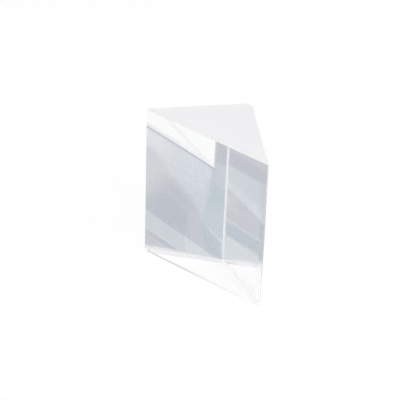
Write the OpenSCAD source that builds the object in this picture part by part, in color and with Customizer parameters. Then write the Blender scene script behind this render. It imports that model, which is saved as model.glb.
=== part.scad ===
// Right-angle glass prism, one solid block standing on its lower ground end.
// The large face looks along -Y, the roof edge runs up the +Y side and +Z is up.
// The origin is the middle of the block's footprint, on the surface it stands on.

/* [Block] */
// Width of each short face, from the sharp roof edge to the sharp side edge
short_face_w = 30; // [20:0.5:60]
// Angle between the two short faces, in degrees
roof_angle = 90; // [60:1:110]
// Length of the prism, from end to end
block_l = 50; // [25:1:100]

/* [Long edges] */
// Width of the flat that is ground along the roof edge
roof_flat_w = 0.6; // [0.3:0.1:2]
// Width of the flat that is ground along each side edge
side_flat_w = 0.4; // [0.3:0.1:2]

/* [End edges] */
// Leg of the 45 degree bevel round the upper end
top_bevel = 0.2; // [0.2:0.1:1.5]
// Leg of the 45 degree bevel round the lower end
foot_bevel = 1.0; // [0.2:0.1:1.5]
// Leg of the bevel that blunts the roof edge at both ends
roof_dub = 1.0; // [0.4:0.1:2.5]

/* [Hidden] */

// Sharp triangle, before its edges are ground
half_w = short_face_w * sin(roof_angle / 2);
depth = short_face_w * cos(roof_angle / 2);
side_angle = (180 - roof_angle) / 2;

// Roof flat: how far it lies inside the sharp roof edge
roof_cut = roof_flat_w / 2 / tan(roof_angle / 2);
// Side flat: where it starts on either face, measured from the sharp side edge
side_cut = side_flat_w / 2 / sin(side_angle / 2);

// Front and back of the ground block, centred on the origin
front_y = -(depth - roof_cut) / 2;
roof_y = (depth - roof_cut) / 2;

// Right half of the block's outline, from the large face round to the roof flat
on_large_face = [half_w - side_cut, front_y];
on_short_face = [half_w - side_cut * cos(side_angle), front_y + side_cut * sin(side_angle)];
on_roof_flat = [roof_flat_w / 2, roof_y];
right_half = [on_large_face, on_short_face, on_roof_flat];

// Whole outline, counter-clockwise: its third side is the roof flat
outline = concat(right_half, [for (i = [2:-1:0]) mirrored(right_half[i])]);
roof_side = 2;

// Edge of the cube that grinds a bevel: it reaches past the block on every side
cutter_w = 2 * max(short_face_w, block_l);

// Tilts that turn the cutter's lower face towards an upper or a lower edge
top_tilt = 45;
foot_tilt = 135;

function mirrored(p) = [-p.x, p.y];

// Cube outside the edge from p to q, at height z, with one face on the plane of its 45 degree bevel
module edge_cutter(p, q, z, tilt, leg) {
    along = q - p;
    middle = (p + q) / 2;
    plane_depth = leg / sqrt(2);
    translate([middle.x, middle.y, z])
        rotate([tilt, 0, atan2(along.y, along.x)])
            translate([0, 0, cutter_w / 2 - plane_depth])
                cube(cutter_w, center = true);
}

// All the bevels round one end of the block
module end_cutters(z, tilt, bevel) {
    for (i = [0:len(outline) - 1]) {
        leg = i == roof_side ? roof_dub : bevel;
        edge_cutter(outline[i], outline[(i + 1) % len(outline)], z, tilt, leg);
    }
}

// The block: polished on its three long faces, ground on its ends, flats and bevels
module prism_block() {
    color([0.80, 0.84, 0.88, 0.6])
        difference() {
            linear_extrude(height = block_l)
                polygon(outline);
            end_cutters(0, foot_tilt, foot_bevel);
            end_cutters(block_l, top_tilt, top_bevel);
        }
}

prism_block();
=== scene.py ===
# %% [markdown]
# # A right-angle prism of clear glass
# The object is one block of optical glass that stands on its end. Three long faces are polished until
# they are clear. The two ends and the thin bevels along every edge stay finely ground, so they look
# white. Glass has no colour of its own to paint, so most of the look comes from exact faces, from
# true refraction and from what lies around the block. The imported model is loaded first, because the
# block takes its length and depth from it.

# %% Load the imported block
import math

import bpy
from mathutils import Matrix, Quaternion, Vector


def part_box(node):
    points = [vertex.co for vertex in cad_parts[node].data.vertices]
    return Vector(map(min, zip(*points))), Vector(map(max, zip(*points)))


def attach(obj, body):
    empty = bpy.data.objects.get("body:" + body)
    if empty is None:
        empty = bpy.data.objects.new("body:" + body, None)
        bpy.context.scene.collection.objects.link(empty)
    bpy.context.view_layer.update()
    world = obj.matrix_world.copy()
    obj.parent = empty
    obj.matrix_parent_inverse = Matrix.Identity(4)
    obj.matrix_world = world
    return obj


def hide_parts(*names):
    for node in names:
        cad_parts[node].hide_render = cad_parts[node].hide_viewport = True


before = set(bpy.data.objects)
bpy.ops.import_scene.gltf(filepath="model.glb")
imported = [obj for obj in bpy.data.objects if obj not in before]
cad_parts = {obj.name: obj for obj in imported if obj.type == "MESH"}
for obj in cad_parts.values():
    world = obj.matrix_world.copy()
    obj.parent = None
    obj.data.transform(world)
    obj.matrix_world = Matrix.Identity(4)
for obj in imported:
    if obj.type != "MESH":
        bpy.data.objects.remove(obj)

scene = bpy.context.scene
scene.view_settings.view_transform = "Standard"
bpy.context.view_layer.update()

# %% [markdown]
# ## Sizes
# The cross-section is half a square, cut along its diagonal: the large face is the diagonal and the
# two short faces are sides of the square, so one depth gives all three. The short faces meet in the
# roof edge. The ground edges are too thin to read from a box, so they are named here: a flat runs
# along an edge, a bevel goes round an end, and a dub is the deeper bevel that blunts the roof edge at
# both ends. The node trees below work in millimetres, which keeps the thin cuts well above rounding
# errors.

# %% Read the sizes, in millimetres
MM = 0.001
ROOF_FLAT = 0.6
SIDE_FLAT = 0.4
TOP_BEVEL = 0.2
FOOT_BEVEL = 1.0
ROOF_DUB = 1.0

low, high = (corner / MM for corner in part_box("prism_block"))
length = high.z - low.z
depth = high.y - low.y + ROOF_FLAT / 2
front = low.y
print(f"length {length:.2f}, sharp depth {depth:.2f}, short face {depth * math.sqrt(2):.2f} mm")

# %% [markdown]
# ## Helpers for node trees
# Shader trees and geometry trees are both nodes joined by links. One small helper adds a node, sets
# its options and fills its inputs: a value that is a socket becomes a link, anything else a setting.
# The next two add the nodes for sums, which come back often, and the last one starts a node group.


# %% Node helpers
def put(tree, kind, inputs=None, **options):
    """Adds a node, sets its options, and fills its inputs with links or plain values."""
    node = tree.nodes.new(kind)
    for name, value in options.items():
        setattr(node, name, value)
    for key, value in (inputs or {}).items():
        if isinstance(value, bpy.types.NodeSocket):
            tree.links.new(value, node.inputs[key])
        else:
            node.inputs[key].default_value = value
    return node


def math_node(tree, operation, *values):
    """One Math node, as the socket that it puts out."""
    return put(tree, "ShaderNodeMath", dict(enumerate(values)), operation=operation).outputs[0]


def vector_node(tree, operation, *values):
    """One Vector Math node that puts out a vector."""
    return put(tree, "ShaderNodeVectorMath", dict(enumerate(values)), operation=operation).outputs[0]


def new_group(name, kind, inputs, outputs):
    """A node group with named sockets. Returns it with its input and output nodes."""
    tree = bpy.data.node_groups.new(name, kind)
    for side, sockets in (("INPUT", inputs), ("OUTPUT", outputs)):
        for socket_name, socket_type in sockets:
            tree.interface.new_socket(socket_name, in_out=side, socket_type=socket_type)
    return tree, tree.nodes.new("NodeGroupInput"), tree.nodes.new("NodeGroupOutput")


print("node helpers ready")

# %% [markdown]
# ## Helpers for finishes
# Every finish here is drawn from the same few shader nodes: a place on the piece, a noise, a change of
# range and a mix of two colours. Noise on Object coordinates stays fixed to the piece when it moves.

# %% Shader helpers
# A Mix node has sockets for every kind of data, and these are the ones for colours.
COLOUR_A = 6
COLOUR_B = 7
COLOUR_MIXED = 2


def object_place(tree):
    """The place on the piece, as the socket of its Object coordinates."""
    return put(tree, "ShaderNodeTexCoord").outputs["Object"]


def noise_node(tree, place, scale, detail, roughness=0.5):
    """A Noise Texture, as the socket of its value."""
    settings = {"Vector": place, "Scale": scale, "Detail": detail, "Roughness": roughness}
    return put(tree, "ShaderNodeTexNoise", settings).outputs[0]


def map_range(tree, value, start, stop, to_start=0.0, to_stop=1.0):
    """A Map Range node that keeps to its limits, as the socket of its result."""
    limits = {"From Min": start, "From Max": stop, "To Min": to_start, "To Max": to_stop}
    return put(tree, "ShaderNodeMapRange", {"Value": value, **limits}).outputs[0]


def mix_colours(tree, share, first, second):
    """A Mix node between two colours, as the socket of its result."""
    settings = {"Factor": share, COLOUR_A: first, COLOUR_B: second}
    return put(tree, "ShaderNodeMix", settings, data_type="RGBA").outputs[COLOUR_MIXED]


print("shader helpers ready")

# %% [markdown]
# ## Fine grinding, a shared effect
# Ground glass is covered in tiny pits from loose grit. Close up it sparkles a little, and from a step
# away it has a soft, slightly cloudy white. Every ground finish needs it, so it is one shader group.
# It puts out the height of the pits and a slow change of tone, and each finish sets their sizes.

# %% Build the grinding group
FLOAT = "NodeSocketFloat"
VECTOR = "NodeSocketVector"
PIT_DETAIL = 3.0
PIT_ROUGHNESS = 0.7
CLOUD_DETAIL = 2.0

grinding, inside, out = new_group(
    "fine grinding", "ShaderNodeTree",
    [("Place", VECTOR), ("Pit Size", FLOAT), ("Cloud Size", FLOAT)],
    [("Pits", FLOAT), ("Cloud", FLOAT)],
)
pit_scale = math_node(grinding, "DIVIDE", 1.0, inside.outputs["Pit Size"])
cloud_scale = math_node(grinding, "DIVIDE", 1.0, inside.outputs["Cloud Size"])
pits = noise_node(grinding, inside.outputs["Place"], pit_scale, PIT_DETAIL, PIT_ROUGHNESS)
cloud = noise_node(grinding, inside.outputs["Place"], cloud_scale, CLOUD_DETAIL)
grinding.links.new(pits, out.inputs["Pits"])
grinding.links.new(cloud, out.inputs["Cloud"])
print("group:", grinding.name, "with", len(grinding.nodes), "nodes")

# %% [markdown]
# ## Polished glass
# Polished crown glass bends light with an index of 1.517 and is all but smooth, so it is a Principled
# shader with full transmission. The index is a plain value on the shader. A prism that is taken out of
# its box and put back gets hairline sleeks and a thin, patchy film. A stretched noise gives the
# hairlines, which raise the roughness a little where they lie. A soft noise gives the film, which
# takes away a trace of light.

# %% Make the polished finish
GLASS_INDEX = 1.517
CLEAN_TINT = (0.994, 0.997, 0.998, 1.0)
FILM_TINT = (0.984, 0.989, 0.99, 1.0)
FILM_SIZE = 12 * MM
FILM_DETAIL = 4.0
SLEEK_TURN = (0.3, 0.5, 0.7)
SLEEK_STRETCH = (1.0, 14.0, 14.0)
SLEEK_SCALE = 90.0
SLEEK_DETAIL = 2.0
SLEEK_START = 0.68
SLEEK_FULL = 0.76
SLEEK_ROUGHNESS = 0.02


def new_finish(name, transmission):
    """A glass material. Returns it with its tree, its Object coordinates and its shader."""
    material = bpy.data.materials.new(name)
    material.use_nodes = True
    tree = material.node_tree
    shader = tree.nodes["Principled BSDF"]
    shader.inputs["IOR"].default_value = GLASS_INDEX
    shader.inputs["Transmission Weight"].default_value = transmission
    return material, tree, object_place(tree), shader


def polished_glass():
    """Clear glass with hairline sleeks and a thin film."""
    material, tree, place, shader = new_finish("polished_glass", transmission=1.0)
    turned = put(tree, "ShaderNodeMapping",
                 {"Vector": place, "Rotation": SLEEK_TURN, "Scale": SLEEK_STRETCH}).outputs[0]
    sleeks = map_range(tree, noise_node(tree, turned, SLEEK_SCALE, SLEEK_DETAIL), SLEEK_START, SLEEK_FULL)
    film = noise_node(tree, place, 1 / FILM_SIZE, FILM_DETAIL)
    tree.links.new(mix_colours(tree, film, CLEAN_TINT, FILM_TINT), shader.inputs["Base Color"])
    tree.links.new(math_node(tree, "MULTIPLY", sleeks, SLEEK_ROUGHNESS), shader.inputs["Roughness"])
    return material


polished = polished_glass()
print("finish:", polished.name)

# %% [markdown]
# ## Ground glass
# A ground face is mostly a white scatter with some light passing through, like a frosted window. One
# function makes all the ground finishes, because they differ only in how white they look, in how much
# light passes and in how coarse the grit was. The ends are ground flat on a plate. The flats and
# bevels are drawn over a plate with finer grit, by hand. The side flats are painted whiter near the
# foot: painted light from the white floor there.

# %% Make the ground finishes
PLATE_GRIT = 0.12 * MM
HAND_GRIT = 0.08 * MM
CLOUD_SIZE = 6 * MM
CLOUD_SHADE = 0.98
PIT_DEPTH = 0.02 * MM
PIT_STRENGTH = 0.2
ROUGH_LOW = 0.55
ROUGH_HIGH = 0.75
# The side flats are painted whiter towards the foot, between these heights: painted light.
PAINTED_LIGHT_TOP = 15.5 * MM
PAINTED_LIGHT_FULL = 11 * MM
PAINTED_LIGHT_WHITE = (0.97, 0.957, 0.962)


def ground_glass(name, white, pit_size, transmission, painted_light=None):
    """Frosted glass: a clouded white with fine pits. Painted light, if given, whitens it near the foot."""
    material, tree, place, shader = new_finish(name, transmission)
    sizes = {"Place": place, "Pit Size": pit_size, "Cloud Size": CLOUD_SIZE}
    grit = put(tree, "ShaderNodeGroup", sizes, node_tree=grinding).outputs
    shade = [c * CLOUD_SHADE for c in white]
    tone = mix_colours(tree, grit["Cloud"], (*shade, 1.0), (*white, 1.0))
    # Painted light: the tone turns whiter towards the foot.
    if painted_light:
        height = put(tree, "ShaderNodeSeparateXYZ", {0: place}).outputs["Z"]
        tone = mix_colours(tree, map_range(tree, height, PAINTED_LIGHT_TOP, PAINTED_LIGHT_FULL), tone, (*painted_light, 1.0))
    rough = map_range(tree, grit["Pits"], 0.0, 1.0, ROUGH_LOW, ROUGH_HIGH)
    bump = put(tree, "ShaderNodeBump",
               {"Height": grit["Pits"], "Strength": PIT_STRENGTH, "Distance": PIT_DEPTH}).outputs[0]
    tree.links.new(tone, shader.inputs["Base Color"])
    tree.links.new(rough, shader.inputs["Roughness"])
    tree.links.new(bump, shader.inputs["Normal"])
    return material


finishes = {
    "Polished": polished,
    "Ground Top": ground_glass("ground_top", (0.89, 0.892, 0.903), PLATE_GRIT, transmission=0.4),
    # The foot is whiter than the top, though both ends are ground alike: painted light.
    "Ground Foot": ground_glass("ground_foot", (0.995, 0.995, 0.995), PLATE_GRIT, transmission=0.1),
    "Ground Bevel": ground_glass("ground_bevel", (0.945, 0.932, 0.94), HAND_GRIT, transmission=0.38),
    "Ground Side": ground_glass("ground_side", (0.74, 0.75, 0.77), HAND_GRIT, transmission=0.9,
                                painted_light=PAINTED_LIGHT_WHITE),
    "Ground Roof": ground_glass("ground_roof", (0.82, 0.825, 0.84), HAND_GRIT, transmission=0.1),
}
print("finishes:", [finish.name for finish in finishes.values()])

# %% [markdown]
# ## Bevel cutters
# A worker grinds each end bevel by drawing the edge over a flat plate. A cut by a flat plate is a
# plane, so each cutter is a big cube with one face on that plane. A small node group makes the six
# cutters of one end. Its first half finds the sides of the outline: the middle of each, the direction
# along it, and the direction that faces out of the block at 45 degrees, where the cutter comes from.

# %% Find the sides of the outline
GEOMETRY = "NodeSocketGeometry"
UP = (0.0, 0.0, 1.0)


def scaled(tree, vector, factor):
    """A vector made longer or shorter by a factor, as a socket."""
    return put(tree, "ShaderNodeVectorMath", {0: vector, "Scale": factor}, operation="SCALE").outputs[0]


cutters, inside, out = new_group(
    "end bevel cutters", "GeometryNodeTree",
    [("Outline", GEOMETRY), ("Height", FLOAT), ("Up or Down", FLOAT),
     ("Bevel", FLOAT), ("Roof Dub", FLOAT), ("Cube Size", FLOAT)],
    [("Cutters", GEOMETRY)],
)
sides = put(cutters, "GeometryNodeCurveToMesh", {0: inside.outputs["Outline"]})
ends = put(cutters, "GeometryNodeInputMeshEdgeVertices").outputs
end_to_end = vector_node(cutters, "SUBTRACT", ends["Position 2"], ends["Position 1"])
kept = put(cutters, "GeometryNodeCaptureAttribute", {"Geometry": sides.outputs[0]}, domain="EDGE")
kept.capture_items.new("VECTOR", "Along")
cutters.links.new(vector_node(cutters, "NORMALIZE", end_to_end), kept.inputs["Along"])
along = kept.outputs["Along"]
middles = put(cutters, "GeometryNodeMeshToPoints", {"Mesh": kept.outputs["Geometry"]}, mode="EDGES")
across = vector_node(cutters, "CROSS_PRODUCT", along, UP)
middle = put(cutters, "GeometryNodeInputPosition").outputs[0]
reach = put(cutters, "ShaderNodeVectorMath", {0: across, 1: middle}, operation="DOT_PRODUCT")
outward = scaled(cutters, across, math_node(cutters, "SIGN", reach.outputs["Value"]))
rise = put(cutters, "ShaderNodeCombineXYZ", {"Z": inside.outputs["Up or Down"]})
facing = vector_node(cutters, "NORMALIZE", vector_node(cutters, "ADD", outward, rise.outputs[0]))
print("group:", cutters.name, "finds the sides with", len(cutters.nodes), "nodes")

# %% [markdown]
# ## A cube for each bevel
# The second half of the group puts a cube at the middle of each side, turns it to face that side, and
# pushes it out until only the bevel is left to cut. The side that looks straight back is the roof
# flat, and its bevel is the dub.

# %% Turn the cubes and push them out
STRAIGHT_BACK = 0.9

to_back = put(cutters, "ShaderNodeSeparateXYZ", {0: outward}).outputs["Y"]
is_roof = math_node(cutters, "GREATER_THAN", to_back, STRAIGHT_BACK)
leg = put(cutters, "GeometryNodeSwitch",
          {"Switch": is_roof, "False": inside.outputs["Bevel"], "True": inside.outputs["Roof Dub"]},
          input_type="FLOAT")
# A plane at 45 degrees lies leg / sqrt(2) inside the sharp edge.
bite = math_node(cutters, "MULTIPLY", leg.outputs[0], math.sqrt(0.5))
half_cube = math_node(cutters, "MULTIPLY", inside.outputs["Cube Size"], 0.5)
push = scaled(cutters, facing, math_node(cutters, "SUBTRACT", half_cube, bite))
lift = put(cutters, "ShaderNodeCombineXYZ", {"Z": inside.outputs["Height"]})
offset = vector_node(cutters, "ADD", push, lift.outputs[0])
moved = put(cutters, "GeometryNodeSetPosition", {"Geometry": middles.outputs[0], "Offset": offset})
turn = put(cutters, "FunctionNodeAxesToRotation", {"Primary Axis": facing, "Secondary Axis": along},
           primary_axis="Z", secondary_axis="X")
cube_size = put(cutters, "ShaderNodeCombineXYZ", {axis: inside.outputs["Cube Size"] for axis in "XYZ"})
cube = put(cutters, "GeometryNodeMeshCube", {"Size": cube_size.outputs[0]})
cubes = put(cutters, "GeometryNodeInstanceOnPoints",
            {"Points": moved.outputs[0], "Instance": cube.outputs[0], "Rotation": turn.outputs[0]})
cutters.links.new(cubes.outputs[0], out.inputs["Cutters"])
print("group:", cutters.name, "with", len(cutters.nodes), "nodes")

# %% [markdown]
# ## The outline of the block
# The block follows a rule, so Geometry Nodes make it. A circle of four points is a square. Without its
# front point it is the half square of the prism. Filleting each corner with a single segment cuts the
# long ground flats. The chord of such a fillet is 2 * radius * sin(turn / 2), and the chord is the flat.

# %% Draw the outline
MATERIAL = "NodeSocketMaterial"
CORNERS = 4
ROOF_CORNER = 1
FRONT_CORNER = 3
INDEX_SLACK = 0.1
ROOF_TURN = math.radians(90)
SIDE_TURN = math.radians(135)

block_sizes = {
    "Depth": depth, "Front": front, "Length": length, "Roof Flat": ROOF_FLAT, "Side Flat": SIDE_FLAT,
    "Top Bevel": TOP_BEVEL, "Foot Bevel": FOOT_BEVEL, "Roof Dub": ROOF_DUB,
}
block_tree, inside, out = new_group(
    "right angle prism", "GeometryNodeTree",
    [(name, FLOAT) for name in block_sizes] + [(name, MATERIAL) for name in finishes],
    [("Block", GEOMETRY)],
)
given = inside.outputs
square = put(block_tree, "GeometryNodeCurvePrimitiveCircle",
             {"Resolution": CORNERS, "Radius": given["Depth"]}, mode="RADIUS")
corner = put(block_tree, "GeometryNodeInputIndex").outputs[0]
is_front = math_node(block_tree, "COMPARE", corner, FRONT_CORNER, INDEX_SLACK)
half_square = put(block_tree, "GeometryNodeDeleteGeometry",
                  {"Geometry": square.outputs[0], "Selection": is_front}, domain="POINT")
is_roof = math_node(block_tree, "COMPARE", corner, ROOF_CORNER, INDEX_SLACK)
roof_radius = math_node(block_tree, "MULTIPLY", given["Roof Flat"], 0.5 / math.sin(ROOF_TURN / 2))
side_radius = math_node(block_tree, "MULTIPLY", given["Side Flat"], 0.5 / math.sin(SIDE_TURN / 2))
radius = put(block_tree, "GeometryNodeSwitch",
             {"Switch": is_roof, "False": side_radius, "True": roof_radius}, input_type="FLOAT")
flats = put(block_tree, "GeometryNodeFilletCurve",
            {"Curve": half_square.outputs[0], "Count": 1, "Radius": radius.outputs[0]}, mode="POLY")
shift = put(block_tree, "ShaderNodeCombineXYZ", {"Y": given["Front"]})
outline = put(block_tree, "GeometryNodeSetPosition",
              {"Geometry": flats.outputs[0], "Offset": shift.outputs[0]}).outputs[0]
print("inputs of the block's tree:", [socket.name for socket in given if socket.name])

# %% [markdown]
# ## The solid block
# The outline is filled for the foot, drawn up to the length and closed, and the cutters of both ends
# are subtracted. The cubes reach well past the block and overlap each other, so the Boolean uses the
# exact solver and is told to expect that. At the end the millimetres become metres.

# %% Draw the block up and cut its ends
MERGE_REACH = 0.001
CUTTER_REACH = 2.0

foot = put(block_tree, "GeometryNodeFillCurve", {0: outline}, mode="NGONS")
drawn = put(block_tree, "GeometryNodeExtrudeMesh",
            {"Mesh": foot.outputs[0], "Offset": UP, "Offset Scale": given["Length"]}, mode="FACES")
turned_foot = put(block_tree, "GeometryNodeFlipFaces", {"Mesh": foot.outputs[0]})
joined = put(block_tree, "GeometryNodeJoinGeometry")
for part in (drawn.outputs["Mesh"], turned_foot.outputs[0]):
    block_tree.links.new(part, joined.inputs[0])
solid = put(block_tree, "GeometryNodeMergeByDistance",
            {"Geometry": joined.outputs[0], "Distance": MERGE_REACH})
cut = put(block_tree, "GeometryNodeMeshBoolean",
          {"Mesh 1": solid.outputs[0], "Self Intersection": True}, operation="DIFFERENCE", solver="EXACT")
cube_side = math_node(block_tree, "MULTIPLY", given["Length"], CUTTER_REACH)
for height, up_or_down, bevel in ((0.0, -1.0, "Foot Bevel"), (given["Length"], 1.0, "Top Bevel")):
    settings = {"Outline": outline, "Height": height, "Up or Down": up_or_down,
                "Bevel": given[bevel], "Roof Dub": given["Roof Dub"], "Cube Size": cube_side}
    end_cutters = put(block_tree, "GeometryNodeGroup", settings, node_tree=cutters)
    block_tree.links.new(end_cutters.outputs[0], cut.inputs["Mesh 2"])
metres = put(block_tree, "GeometryNodeTransform", {"Geometry": cut.outputs[0], "Scale": (MM, MM, MM)})
print("tree:", block_tree.name, "with", len(block_tree.nodes), "nodes")

# %% [markdown]
# ## Finishes on the faces
# The tree also knows which face is which, so it sets the materials. The direction of a face tells the
# ends, the side flats and the roof flat apart. What stands upright and is large is polished, and every
# other face is a ground bevel. The bevels round the foot get painted light and shade: the right one, on
# the lamp's side, takes the white of the foot, and the left one the grey of the roof flat. Later choices
# paint over earlier ones.

# %% Paint the faces
ALONG = 0.99
SIDEWAYS = 0.9
UPRIGHT = 0.01
TO_RIGHT = 0.3
DOWNWARD = -0.5
BIG_FACE = 200 * MM ** 2


def above(value, limit):
    """1 on faces where a value is over a limit, and else 0."""
    return math_node(block_tree, "GREATER_THAN", value, limit)


def below(value, limit):
    """1 on faces where a value is under a limit, and else 0."""
    return math_node(block_tree, "LESS_THAN", value, limit)


def both(first, second):
    """1 on faces that two choices share, and else 0."""
    return math_node(block_tree, "MULTIPLY", first, second)


real = put(block_tree, "GeometryNodeRealizeInstances", {0: metres.outputs[0]})
flat_shaded = put(block_tree, "GeometryNodeSetShadeSmooth",
                  {"Geometry": real.outputs[0], "Shade Smooth": False})
normal = put(block_tree, "GeometryNodeInputNormal").outputs[0]
facing = put(block_tree, "ShaderNodeSeparateXYZ", {0: normal}).outputs
area = put(block_tree, "GeometryNodeInputMeshFaceArea").outputs[0]
is_upright = below(math_node(block_tree, "ABSOLUTE", facing["Z"]), UPRIGHT)
is_foot_bevel = below(facing["Z"], DOWNWARD)
PAINT_ORDER = (
    ("Ground Bevel", True),
    ("Ground Side", above(math_node(block_tree, "ABSOLUTE", facing["X"]), SIDEWAYS)),
    ("Ground Roof", above(facing["Y"], ALONG)),
    # Painted light: the right foot bevel takes the white of the foot. Painted shade: the left one takes the
    # grey of the roof flat.
    ("Ground Foot", both(is_foot_bevel, above(facing["X"], TO_RIGHT))),
    ("Ground Roof", both(is_foot_bevel, below(facing["X"], -TO_RIGHT))),
    ("Ground Top", above(facing["Z"], ALONG)),
    ("Ground Foot", below(facing["Z"], -ALONG)),
    ("Polished", both(is_upright, above(area, BIG_FACE))),
)
painted = flat_shaded.outputs[0]
for finish, chosen in PAINT_ORDER:
    painted = put(block_tree, "GeometryNodeSetMaterial",
                  {"Geometry": painted, "Selection": chosen, "Material": given[finish]}).outputs[0]
block_tree.links.new(painted, out.inputs["Block"])
print("painted in this order:", [finish for finish, chosen in PAINT_ORDER])

# %% [markdown]
# ## From the tree to a plain mesh
# The tree is hung on an empty mesh by a modifier. Each input is set by its identifier before the first
# evaluation. The evaluated result then becomes a plain mesh, so that nothing live is left on the piece.


# %% Make the block
def mesh_from_tree(name, tree, values):
    """Runs a geometry tree with these inputs and returns its result as a plain mesh object."""
    holder = bpy.data.objects.new(name + "_holder", bpy.data.meshes.new(name + "_empty"))
    scene.collection.objects.link(holder)
    modifier = holder.modifiers.new("shape", "NODES")
    modifier.node_group = tree
    for item in tree.interface.items_tree:
        if item.in_out == "INPUT":
            modifier[item.identifier] = values[item.name]
    holder.update_tag()
    depsgraph = bpy.context.evaluated_depsgraph_get()
    mesh = bpy.data.meshes.new_from_object(holder.evaluated_get(depsgraph), depsgraph=depsgraph)
    holder.modifiers.remove(modifier)
    bpy.data.objects.remove(holder)
    for slot in reversed(range(len(mesh.materials))):
        if mesh.materials[slot] is None:
            mesh.materials.pop(index=slot)
    made = bpy.data.objects.new(name, mesh)
    mesh.name = name
    scene.collection.objects.link(made)
    return made


block = mesh_from_tree("glass_block", block_tree, {**block_sizes, **finishes})
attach(block, "root")
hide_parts("prism_block")
for slot, finish in enumerate(block.data.materials):
    areas = [face.area / MM ** 2 for face in block.data.polygons if face.material_index == slot]
    print(f"{finish.name}: {len(areas)} faces, {sum(areas):.1f} square millimetres")

# %% [markdown]
# ## Helpers for the stage
# The floor, the cards and the sky aren't part of the object. They need materials that ask what kind of
# ray is looking, so that the picture can have a white ground without more light on the block.

# %% Stage helpers
WHITE = (1.0, 1.0, 1.0, 1.0)


def seen_directly(tree):
    """1 where a ray comes from the camera, a mirror reflection or through glass, and else 0."""
    path = put(tree, "ShaderNodeLightPath").outputs
    either = math_node(tree, "MAXIMUM", path["Is Camera Ray"], path["Is Glossy Ray"])
    return math_node(tree, "MAXIMUM", either, path["Is Transmission Ray"])


def new_stage_material(name):
    """A material with an empty tree."""
    material = bpy.data.materials.new(name)
    material.use_nodes = True
    material.node_tree.nodes.clear()
    return material, material.node_tree


def show_mix(tree, share, first, second):
    """Ends a material's tree with a mix of two shader nodes."""
    mixed = put(tree, "ShaderNodeMixShader", {0: share, 1: first.outputs[0], 2: second.outputs[0]})
    put(tree, "ShaderNodeOutputMaterial", {"Surface": mixed.outputs[0]})


def flat_sheet(name, points, faces, material):
    """A flat stage sheet from points in metres."""
    mesh = bpy.data.meshes.new(name)
    mesh.from_pydata(points, [], faces)
    mesh.materials.append(material)
    sheet = bpy.data.objects.new(name, mesh)
    scene.collection.objects.link(sheet)
    return sheet


print("stage helpers ready")

# %% [markdown]
# ## Floor
# The floor is plain white paper. To the camera, and to rays that come through glass or off a polished
# face, it shows mostly its own white, and the block's shadow stays in the rest. Along the front foot
# bevel, where the light can't reach into the narrow gap, it shows its shading alone, and its paper is
# painted darker there: a painted contact shadow, which draws the thin dark line under the block. The
# painted shadow fades out to the right, where the lamp is.

# %% Lay the floor
FLOOR_GAP = 0.1
FLOOR_HALF = 2000
PAPER_WHITE = (0.99, 0.99, 0.99)
WHITE_SHARE = 0.88
GAP_WIDTH = 0.42
GAP_SOFT = 0.1
GAP_IN = 0.2
GAP_START = 0.5
GAP_FADE_FROM = -6
GAP_FADE_TO = 16
GAP_PAINTED_SHADE = 0.48


def floor_paper():
    """White paper, its own white left out and a shadow painted in the gap under the front bevel."""
    material, tree = new_stage_material("floor_paper")
    place = put(tree, "ShaderNodeSeparateXYZ", {0: object_place(tree)}).outputs
    line_y = (front + FOOT_BEVEL - GAP_IN) * MM
    off_line = math_node(tree, "ABSOLUTE", math_node(tree, "SUBTRACT", place["Y"], line_y))
    near = map_range(tree, off_line, (GAP_WIDTH / 2 - GAP_SOFT) * MM, GAP_WIDTH / 2 * MM, 1.0, 0.0)
    fade = map_range(tree, place["X"], GAP_FADE_FROM * MM, GAP_FADE_TO * MM, 1.0, 0.0)
    begun = math_node(tree, "GREATER_THAN", place["X"], (low.x + GAP_START) * MM)
    gap = math_node(tree, "MULTIPLY", near, math_node(tree, "MULTIPLY", fade, begun))
    own_white = math_node(tree, "MULTIPLY", math_node(tree, "SUBTRACT", 1.0, gap), WHITE_SHARE)
    # The darker paper in the gap is a painted shadow, which fades out towards the right.
    shade = [c * GAP_PAINTED_SHADE for c in PAPER_WHITE]
    paper = mix_colours(tree, gap, (*PAPER_WHITE, 1.0), (*shade, 1.0))
    shading = put(tree, "ShaderNodeBsdfDiffuse", {"Color": paper})
    glow = put(tree, "ShaderNodeEmission", {"Color": WHITE, "Strength": 1.0})
    show_mix(tree, math_node(tree, "MULTIPLY", seen_directly(tree), own_white), shading, glow)
    return material


floor_corners = [(x * FLOOR_HALF, y * FLOOR_HALF) for x, y in ((-1, -1), (1, -1), (1, 1), (-1, 1))]
flat_sheet("floor", [Vector((x, y, -FLOOR_GAP)) * MM for x, y in floor_corners],
           [range(len(floor_corners))], floor_paper())
print("floor:", 2 * FLOOR_HALF, "mm square,", FLOOR_GAP, "mm under the block")

# %% [markdown]
# ## Sky and lamp
# An even white sky does most of the lighting, as in a light tent, and one soft box on the right adds
# a direction. Together they light the block at a plain level, so a colour renders about as it is
# written. Rays that look at the sky directly see plain white.

# %% Hang the sky and the soft box
SKY_LEVEL = 0.75
LAMP_LEVEL = 0.3
LAMP_AZIMUTH = math.radians(80)
LAMP_ELEVATION = math.radians(60)
LAMP_DISTANCE = 1.2
LAMP_SIDE = 0.9


def direction(azimuth, elevation):
    """The way out from the block, where azimuth 0 is straight in front of the large face."""
    flat = math.cos(elevation)
    return Vector((math.sin(azimuth) * flat, -math.cos(azimuth) * flat, math.sin(elevation)))


def soft_box(name, away, distance, side, level):
    """A square lamp that faces the block and gives a level of light where 1 shows a white as white."""
    lamp = bpy.data.lights.new(name, "AREA")
    lamp.size = side
    lamp.energy = level * (math.pi * distance) ** 2
    holder = bpy.data.objects.new(name, lamp)
    holder.location = away * distance
    holder.rotation_mode = "QUATERNION"
    holder.rotation_quaternion = (-away).to_track_quat("-Z", "Y")
    scene.collection.objects.link(holder)


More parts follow.
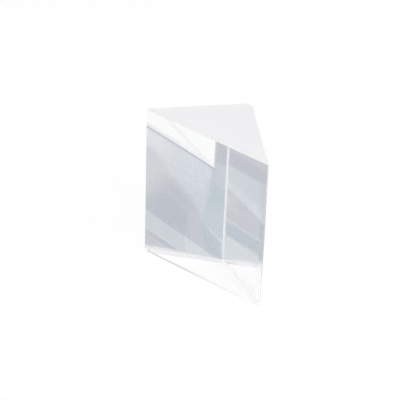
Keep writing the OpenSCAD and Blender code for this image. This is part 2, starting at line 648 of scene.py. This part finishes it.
scene.world = bpy.data.worlds.new("white sky")
scene.world.use_nodes = True
sky = scene.world.node_tree
background = sky.nodes["Background"]
background.inputs["Color"].default_value = WHITE
sky.links.new(map_range(sky, seen_directly(sky), 0.0, 1.0, SKY_LEVEL, 1.0), background.inputs["Strength"])
soft_box("key_soft_box", direction(LAMP_AZIMUTH, LAMP_ELEVATION), LAMP_DISTANCE, LAMP_SIDE, LAMP_LEVEL)
print("sky level", SKY_LEVEL, "lamp level", LAMP_LEVEL)

# %% [markdown]
# ## Enough bounces for a glass block
# Light that enters a ground end is scattered and then trapped: it meets the polished faces at flat
# angles and is reflected many times before it gets out. With the usual few bounces that light would be
# lost, and the white ends would turn grey. The filter that blurs a clear face after a rough bounce
# would change that light too, so it is off here.

# %% Allow long light paths
LONGEST_PATH = 48
for kind in ("max_bounces", "glossy_bounces", "transmission_bounces", "diffuse_bounces"):
    setattr(scene.cycles, kind, LONGEST_PATH)
scene.cycles.blur_glossy = 0.0
print("bounces:", scene.cycles.max_bounces)

# %% [markdown]
# ## Cards for the glass to look at
# Clear glass on white shows nothing but white. Photographers lay grey cards round it, out of the
# picture, so that the faces pick up tone and the edges stay bright. Here the cards are self-lit, and
# those behind the block are a painted shadow of the block on the floor, with painted streaks of light
# in it. Only rays that have passed through glass can see the cards. Light that a ground face has
# scattered passes through them, so they don't dull the white ends. A fine grain in the paper gives the
# clear faces a slight mottle, and an attribute called cover fades the paper out towards its rim. The
# tones run from light to dark.

# %% Card papers
CREASE = (0.93, 0.91, 0.915)
HIGH = (0.76, 0.78, 0.82)
ROSE = (0.75, 0.735, 0.755)
MILK = (0.685, 0.715, 0.76)
PALE = (0.65, 0.685, 0.735)
FOG = (0.625, 0.662, 0.708)
DOVE = (0.63, 0.635, 0.67)
LIGHT = (0.60, 0.64, 0.685)
ASH = (0.605, 0.622, 0.66)
WARM = (0.72, 0.57, 0.59)
MIST = (0.565, 0.60, 0.645)
GREY = (0.565, 0.575, 0.62)
TEAL = (0.505, 0.575, 0.625)
PLUM = (0.52, 0.535, 0.592)
SLATE = (0.505, 0.525, 0.58)
DUSK = (0.46, 0.515, 0.57)
NAVY = (0.445, 0.472, 0.533)
GRAIN_SIZE = 0.5 * MM
GRAIN_DETAIL = 2.0
GRAIN_DEPTH = 0.55


def card_paper(name, tone):
    """A self-lit paper with a fine grain, which its cover attribute fades out."""
    material, tree = new_stage_material(name)
    cover = put(tree, "ShaderNodeAttribute", attribute_name="cover").outputs["Fac"]
    scatters = put(tree, "ShaderNodeLightPath").outputs["Diffuse Depth"]
    shown = math_node(tree, "MULTIPLY", cover, math_node(tree, "LESS_THAN", scatters, 1.0))
    grain = noise_node(tree, object_place(tree), 1 / GRAIN_SIZE, GRAIN_DETAIL)
    level = map_range(tree, grain, 0.0, 1.0, 1 - GRAIN_DEPTH / 2, 1 + GRAIN_DEPTH / 2)
    clear = put(tree, "ShaderNodeBsdfTransparent")
    glow = put(tree, "ShaderNodeEmission", {"Color": (*tone, 1.0), "Strength": level})
    show_mix(tree, shown, clear, glow)
    return material


print("grain of the cards:", GRAIN_SIZE / MM, "mm")

# %% [markdown]
# ## How a card is cut
# Each card is given by its corners and the width of its soft rim. The corners, moved out and in by half
# that width, give an outer outline, where the cover is 0, and an inner one, where it is 1. A card lies
# on the floor, a hair above the one before it, or it stands on edge above a line on the floor.

# %% Card helpers
FIRST_LAYER = 0.02
LAYER = 0.004


def moved_outline(corners, distance):
    """The outline moved outwards by a distance, with mitred corners."""
    points = [Vector(corner) for corner in corners]
    following = points[1:] + points[:1]
    turn = math.copysign(1.0, sum(p.cross(q) for p, q in zip(points, following)))
    outward = [Vector((q.y - p.y, p.x - q.x)).normalized() * turn for p, q in zip(points, following)]
    return [p + (outward[k - 1] + outward[k]) * distance / (1 + outward[k - 1].dot(outward[k]))
            for k, p in enumerate(points)]


def soft_sheet(name, tone, rim, corners, place):
    """A sheet with a soft rim, which only glass shows. Place turns a flat corner into a point in metres."""
    count = len(corners)
    outlines = moved_outline(corners, rim / 2) + moved_outline(corners, -rim / 2)
    ring = [(k, (k + 1) % count, count + (k + 1) % count, count + k) for k in range(count)]
    faces = ring + [range(count, 2 * count)]
    sheet = flat_sheet(name, [place(point) for point in outlines], faces, card_paper(name, tone))
    cover = sheet.data.attributes.new("cover", "FLOAT", "POINT")
    cover.data.foreach_set("value", [0.0] * count + [1.0] * count)
    for ray in ("camera", "diffuse", "glossy", "shadow"):
        setattr(sheet, "visible_" + ray, False)


def card(name, tone, rim, corners, layer=0):
    """A card that lies on the floor, given by its corners in millimetres."""
    height = FIRST_LAYER + layer * LAYER - FLOOR_GAP
    soft_sheet(name, tone, rim, corners, lambda p: Vector((p.x, p.y, height)) * MM)


def standing_card(name, tone, rim, line, corners):
    """A card on edge above a line on the floor. A corner is (distance along, height), in millimetres."""
    start, end = (Vector(point) for point in line)
    along = (end - start).normalized()
    soft_sheet(name, tone, rim, corners, lambda p: Vector((*(start + along * p.x), p.y)) * MM)


def lay_strips(strips, first_layer):
    """Lays strips of name, tone, rim and corners over each other, in their order."""
    for layer, strip in enumerate(strips, start=first_layer):
        card(*strip, layer)


print("cards lie", LAYER, "mm apart")

# %% [markdown]
# ## Strips seen straight through the glass
# In the photograph the large face shows what lies behind the block twice: straight through the left
# short face, and mirrored in the right one. So the cards behind it lie in two groups, one towards +Y
# and one towards -X. One base card carries both, as a painted shadow of the block. The strips of the
# first group overlap like sheets of paper, from the painted light at the upper left to the bands of
# painted shadow near the foot. The white floor beyond the base card gives the white corner at the top
# left.

# %% Lay the base card and the straight strips
BASE_RIM = 0.1
BASE_CARD = [(-67, 15), (-67, -12), (-23.5, -12), (-0.4, 10.9), (4.2, 10.9), (3.7, 76), (-1.45, 76),
             (-1.4, 53.4), (-25.2, 54.7), (-24.5, 15)]
STRAIGHT_STRIPS = [
    ("pale_sweep", PALE, 2.0, [(-26, 54.2), (-2.6, 52.8), (-4.4, 23), (-26, 40)]),
    ("milk_sweep", MILK, 6.0, [(-27, 54.7), (-5, 53.7), (-8, 46), (-14, 40), (-27, 44)]),
    ("high_light", HIGH, 6.0, [(-28, 54.7), (-15, 53.7), (-17, 46), (-28, 47)]),
    ("dove_corner", DOVE, 2.0, [(-26, 43.5), (-19.5, 43), (-10, 32), (-16, 20), (-26, 17)]),
    ("light_fold", LIGHT, 4.0, [(-8.5, 36.5), (-3.6, 37), (-3.2, 25.5), (-7.5, 29)]),
    ("slate_fold", SLATE, 6.0, [(-20, 22), (-16.2, 29.6), (-14.5, 33), (-12, 33.8), (-6.5, 28.5),
                                (-6.5, 7.5), (-23.5, 7.5), (-23.5, 16)]),
    ("navy_fold", NAVY, 4.0, [(-17.8, 20.5), (-15.5, 24.2), (-9.5, 22.5), (-8, 20), (-8, 7.5),
                              (-19.4, 7.5), (-19.4, 16)]),
    ("slate_point", SLATE, 2.0, [(-9, 30), (-4.2, 24.8), (-4.5, 21.2), (-8.9, 24)]),
    ("slate_gap", SLATE, 0.6, [(-8.9, 24), (-4.9, 21.3), (-4.9, 9.3), (-8.8, 9.3)]),
    ("deep_foot", DUSK, 1.0, [(-5, 21.8), (-0.4, 18.6), (-0.3, 10.5), (-4.9, 9.3)]),
    ("milk_tip", MILK, 1.6, [(-4.4, 51.4), (-2.6, 51.2), (-2.2, 46.5), (-4.2, 46)]),
    ("teal_side", TEAL, 1.2, [(-1.45, 70), (3, 70), (2.6, 21), (-5, 22.5), (-4.2, 29), (-2.6, 40),
                              (-1.9, 50.5), (-1.4, 53.3)]),
    ("mist_side", MIST, 1.2, [(-0.8, 57.4), (2.8, 57.4), (2.6, 45.5), (-1.6, 45.5), (-1.5, 52)]),
    ("slate_side", SLATE, 1.0, [(-1.0, 70), (3, 70), (3.2, 57.6), (-1.0, 57.6)]),
    ("shade_under_white", NAVY, 0.6, [(-24.2, 54.5), (-1.4, 53.3), (-1.4, 52.6), (-24.2, 53.8)]),
    ("low_band", MIST, 0.6, [(-22.5, 10.2), (-2.1, 10.2), (-11.3, 0.9), (-22.5, 0.9)]),
    ("low_light", FOG, 0.6, [(-10, 10.2), (-2.1, 10.2), (-10, 2.2)]),
    ("low_corner", PLUM, 0.6, [(-22.4, 0.9), (-12.3, 0.9), (-21.3, -9.2)]),
]
# The base card is a painted shadow of the block on the floor behind it.
card("base_card", MIST, BASE_RIM, BASE_CARD)
lay_strips(STRAIGHT_STRIPS, first_layer=1)
print("strips seen straight through:", len(STRAIGHT_STRIPS))

# %% [markdown]
# ## Strips seen in the mirror
# Inside the glass, light meets the right short face at so flat an angle that the face reflects it all.
# What the large face shows there is the floor towards -X: its far end stands at the top, and the bands
# follow each other downwards. Two narrow strips paint shade along the right-hand edge.

# %% Lay the mirrored strips
MIRRORED_STRIPS = [
    ("far_grey", GREY, 2.0, [(-66, 12), (-56.3, 12), (-57, -5), (-66, -5)]),
    ("far_slate", SLATE, 2.5, [(-56.3, 12), (-48.2, 12), (-49.7, -5), (-57, -5)]),
    ("light_band", LIGHT, 1.5, [(-48.2, 12), (-38, 12), (-30, -3), (-49.7, -5)]),
    ("pale_band", PALE, 3.0, [(-43, 12), (-38.5, 12), (-30.3, -2.6), (-35.5, -3.6)]),
    ("plum_band", PLUM, 1.5, [(-38, 12), (-21.8, 11.5), (-20.8, -2.8), (-30, -2.6)]),
    ("ash_band", ASH, 4.0, [(-37, 12.5), (-27, 12.5), (-27.5, 7), (-33.5, 5.5)]),
    ("edge_mist", MIST, 1.2, [(-49, -0.9), (-31.3, -0.6), (-31.3, -4), (-49, -4)]),
    ("edge_shade", NAVY, 0.5, [(-30, -0.3), (-12.5, 0.9), (-12.5, -0.4), (-30, -1.7)]),
]
lay_strips(MIRRORED_STRIPS, first_layer=1 + len(STRAIGHT_STRIPS))
print("strips seen in the mirror:", len(MIRRORED_STRIPS))

# %% [markdown]
# ## Thin lines in the glass
# Three narrow strips draw the finest lines: the light one just above the foot, the faint crease in the
# white corner, and a warm one beside that corner. Real glass bends each colour a little differently and
# draws a red fringe at an edge of white. The renderer bends all colours alike, so the warm strip stands
# for that fringe.

# %% Lay the thin lines
THIN_LINES = [
    ("foot_light", ROSE, 0.5, [(-21.5, -7.6), (-1.3, 10.75), (-0.9, 10.1), (-21.5, -10.4)]),
    ("white_crease", CREASE, 1.4, [(-18.2, 65.2), (-15.8, 65.2), (-3.4, 54.9), (-5.3, 54.7)]),
    ("warm_fringe", WARM, 0.2, [(-1.75, 70), (-1.4, 70), (-1.35, 53.9), (-1.7, 53.9)]),
]
lay_strips(THIN_LINES, first_layer=1 + len(STRAIGHT_STRIPS) + len(MIRRORED_STRIPS))
print("thin lines:", len(THIN_LINES))

# %% [markdown]
# ## Cards on edge
# Near the block both groups share the floor, so three narrow cards stand on edge there. The mirrored
# view sees them broadside, and the straight view sees little more than their edges.

# %% Stand the narrow cards
BAND_LINE = ((-13.8, -2), (-13.2, 11))
SHEEN_LINE = ((-9.6, 1.4), (-9.5, 9.5))
STANDING_CARDS = [
    ("dusk_band", DUSK, 0.6, BAND_LINE, [(0, 1.3), (13, 0), (13, 5.1), (0, 5.8)]),
    ("light_seam", MIST, 0.5, BAND_LINE, [(0, 6.1), (13, 5.1), (13, 5.8), (0, 6.8)]),
    ("low_sheen", FOG, 0.5, SHEEN_LINE, [(0, 0), (8.1, 0), (8.1, 3), (0, 3)]),
]
for settings in STANDING_CARDS:
    standing_card(*settings)
print("cards on edge:", len(STANDING_CARDS))

# %% [markdown]
# ## Cards all round
# Seen from another side, the faces look at other parts of the floor. A fan of long cards lies round
# the block for those views, so that it never melts into the white. The fan is a loop: each card is a
# sector, twisted a little so that its streaks run aslant in the glass. Where the strips lie, the fan
# starts further out.

# %% Lay the fan
FAN_TONES = (MIST, SLATE, PALE, GREY, TEAL, NAVY)
FAN_COUNT = 12
FAN_GAP = math.radians(2)
FAN_TWIST = math.radians(12)
FAN_RIM = 7.0
FAN_NEAR = 28
FAN_PAST_STRIPS = {2: 92, 3: 92, 4: 92, 5: 68, 6: 68}
FAN_END = 300

for k in range(FAN_COUNT):
    start = math.tau * k / FAN_COUNT
    end = math.tau * (k + 1) / FAN_COUNT - FAN_GAP
    near = FAN_PAST_STRIPS.get(k, FAN_NEAR)
    places = ((near, start), (FAN_END, start + FAN_TWIST), (FAN_END, end + FAN_TWIST), (near, end))
    corners = [(radius * math.cos(angle), radius * math.sin(angle)) for radius, angle in places]
    card(f"fan_{k}", FAN_TONES[k % len(FAN_TONES)], FAN_RIM, corners, layer=k)
print("cards in the fan:", FAN_COUNT)

# %% [markdown]
# ## Camera
# The photograph looks down at the large face from its right, through a long lens, and is turned a
# little. These angles come from fitting the block's edges to the picture.

# %% Camera
AZIMUTH = math.radians(36.24)
ELEVATION = math.radians(36.5)
ROLL = math.radians(1.98)
DISTANCE = 0.5766
LENS = 183.1
AIM = Vector((-5.03, -5.43, 23.1)) * MM

back = direction(AZIMUTH, ELEVATION)
lens = bpy.data.cameras.new("camera")
lens.lens = LENS
camera = bpy.data.objects.new("camera", lens)
camera.location = AIM + back * DISTANCE
camera.rotation_mode = "QUATERNION"
camera.rotation_quaternion = (-back).to_track_quat("-Z", "Y") @ Quaternion(UP, ROLL)
scene.collection.objects.link(camera)
scene.camera = camera
print("camera at", [round(x, 4) for x in camera.location])
